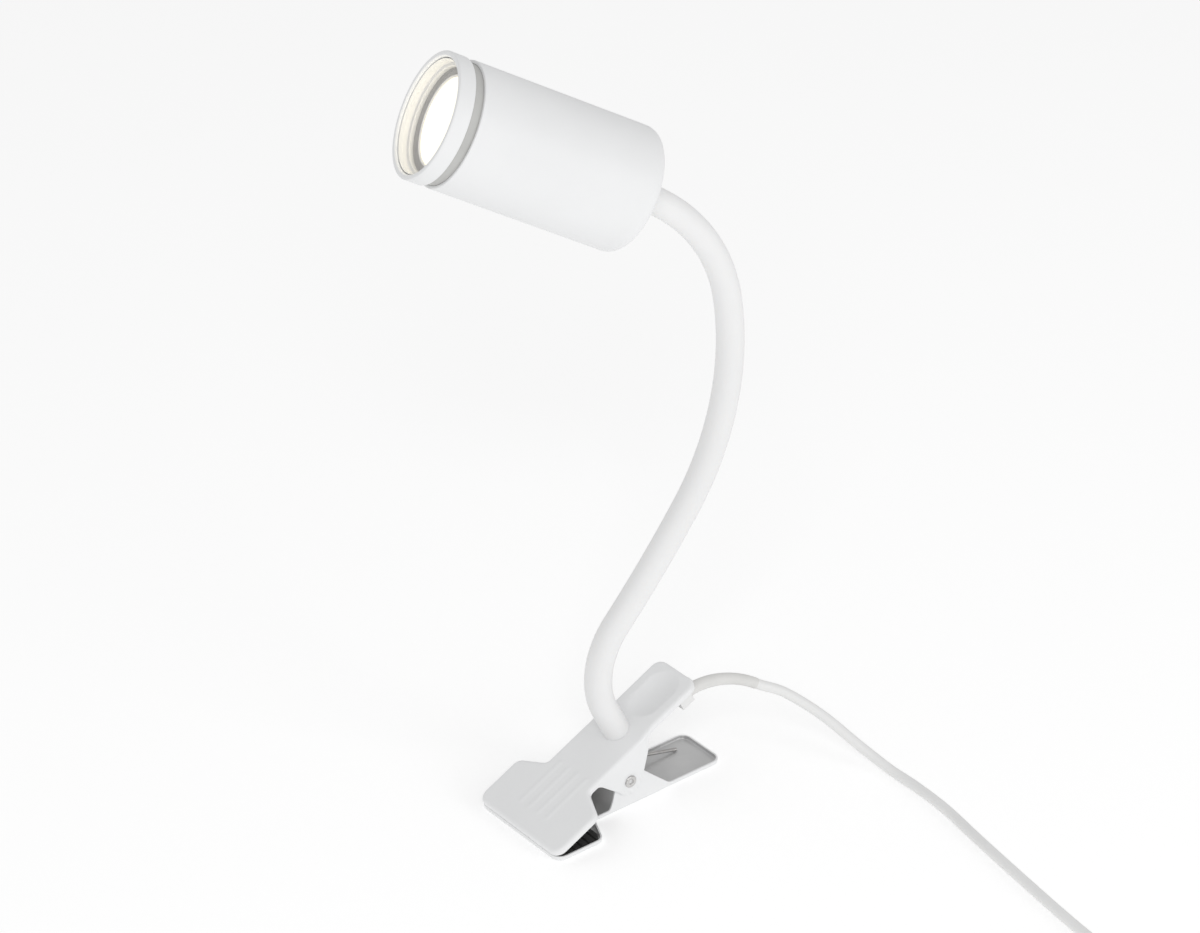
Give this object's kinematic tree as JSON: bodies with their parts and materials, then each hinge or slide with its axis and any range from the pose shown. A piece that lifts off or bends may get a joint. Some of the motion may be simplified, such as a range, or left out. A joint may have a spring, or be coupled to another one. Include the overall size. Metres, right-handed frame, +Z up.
{
  "type": "clip-on reading lamp",
  "caption": "Clip-on reading lamp with a sprung steel clip, a bendable sleeved neck, a cylindrical spot head, a cord with a switch and a plug.",
  "frame": {"origin": "on the flat underside of the lower clip half, straight below the clip's pivot", "axes": "+X from the jaws to the handles, +Y along the pivot, +Z up"},
  "size_m": [0.1812, 0.4783, 0.3572],
  "materials": {
    "clip_paint": "satin white powder paint",
    "steel": "nickel plated steel",
    "spring_steel": "bright spring wire",
    "pad_rubber": "matt black rubber",
    "sleeve_white": "matt white soft sleeve",
    "head_paint": "matt white paint",
    "groove_grey": "grey plastic",
    "baffle_white": "matt white plastic",
    "ceramic": "unglazed ceramic",
    "copper_wire": "insulated wire",
    "lamp_plastic": "light grey plastic",
    "lens": "lit warm white diffuser",
    "guard_grey": "soft grey strain relief",
    "cord_white": "white flexible PVC",
    "plug_white": "white plastic",
    "rocker_grey": "light grey plastic",
    "tie_black": "black tie"
  },
  "bodies": {
    "lower_half": {"lower_clip_half": "clip_paint", "lower_jaw_pad": "pad_rubber", "pivot_rivet": "steel", "pivot_spacer": "steel", "torsion_spring": "spring_steel", "cord_run": "cord_white", "switch_base": "plug_white", "switch_cover": "plug_white", "switch_screws": "steel", "cord_link": "cord_white", "cord_coil": "cord_white", "coil_tie": "tie_black", "cord_tail": "cord_white", "plug_body": "plug_white", "plug_pins": "steel"},
    "upper_half": {"upper_clip_half": "clip_paint", "upper_jaw_pad": "pad_rubber", "neck_nipple": "steel", "neck_washer": "steel", "neck_nut": "steel", "neck_core_0": "steel", "neck_sleeve_0": "sleeve_white", "cord_guard": "guard_grey", "cord_clamp": "plug_white"},
    "neck_1": {"neck_core_1": "steel", "neck_sleeve_1": "sleeve_white"},
    "neck_2": {"neck_core_2": "steel", "neck_sleeve_2": "sleeve_white"},
    "neck_3": {"neck_core_3": "steel", "neck_sleeve_3": "sleeve_white"},
    "neck_4": {"neck_core_4": "steel", "neck_sleeve_4": "sleeve_white"},
    "head": {"neck_core_5": "steel", "neck_sleeve_5": "sleeve_white", "head_nipple": "steel", "head_washer": "steel", "head_nut": "steel", "head_housing": "head_paint", "joining_sleeve": "groove_grey", "front_ring": "head_paint", "lamp_baffle": "baffle_white", "socket_bracket": "steel", "lamp_socket": "ceramic", "socket_screws": "steel", "head_wires": "copper_wire", "lamp_body": "lamp_plastic", "lamp_lens": "lens", "lens_ring": "lamp_plastic", "lamp_pins": "steel"},
    "rocker": {"switch_rocker": "rocker_grey"}
  },
  "joints": [
    {"name": "clip_open", "type": "hinge", "parent": "lower_half", "child": "upper_half", "pos_m": [0, 0, 0.0147], "axis": [0, 1, 0], "range_deg": [0, 32], "stiffness_Nm_per_rad": 1.4, "springref_deg": -34.38, "deforming": ["torsion_spring", "cord_run"]},
    {"name": "neck_bend_1", "type": "hinge", "parent": "upper_half", "child": "neck_1", "pos_m": [-0.00261, 0, 0.04644], "axis": [0, 1, 0], "range_deg": [-25, 25], "deforming": ["neck_sleeve_0", "neck_sleeve_1"]},
    {"name": "neck_bend_2", "type": "hinge", "parent": "neck_1", "child": "neck_2", "pos_m": [0.00393, 0, 0.08822], "axis": [0.7237, 0, -0.6901], "range_deg": [-25, 25], "deforming": ["neck_sleeve_1", "neck_sleeve_2"]},
    {"name": "neck_bend_3", "type": "hinge", "parent": "neck_2", "child": "neck_3", "pos_m": [0.04279, 0, 0.1339], "axis": [0, 1, 0], "range_deg": [-25, 25], "deforming": ["neck_sleeve_2", "neck_sleeve_3"]},
    {"name": "neck_bend_4", "type": "hinge", "parent": "neck_3", "child": "neck_4", "pos_m": [0.06783, 0.00394, 0.229], "axis": [0.9875, -0.0739, 0.1391], "range_deg": [-25, 25], "deforming": ["neck_sleeve_3", "neck_sleeve_4"]},
    {"name": "neck_bend_5", "type": "hinge", "parent": "neck_4", "child": "head", "pos_m": [0.04168, 0.01413, 0.27584], "axis": [0.3198, 0.9471, -0.0276], "range_deg": [-25, 25], "deforming": ["neck_sleeve_4", "neck_sleeve_5"]},
    {"name": "rocker_press", "type": "hinge", "parent": "lower_half", "child": "rocker", "pos_m": [0.0875, -0.284, 0.0114], "axis": [1, 0, 0], "range_deg": [0, 14]}
  ]
}
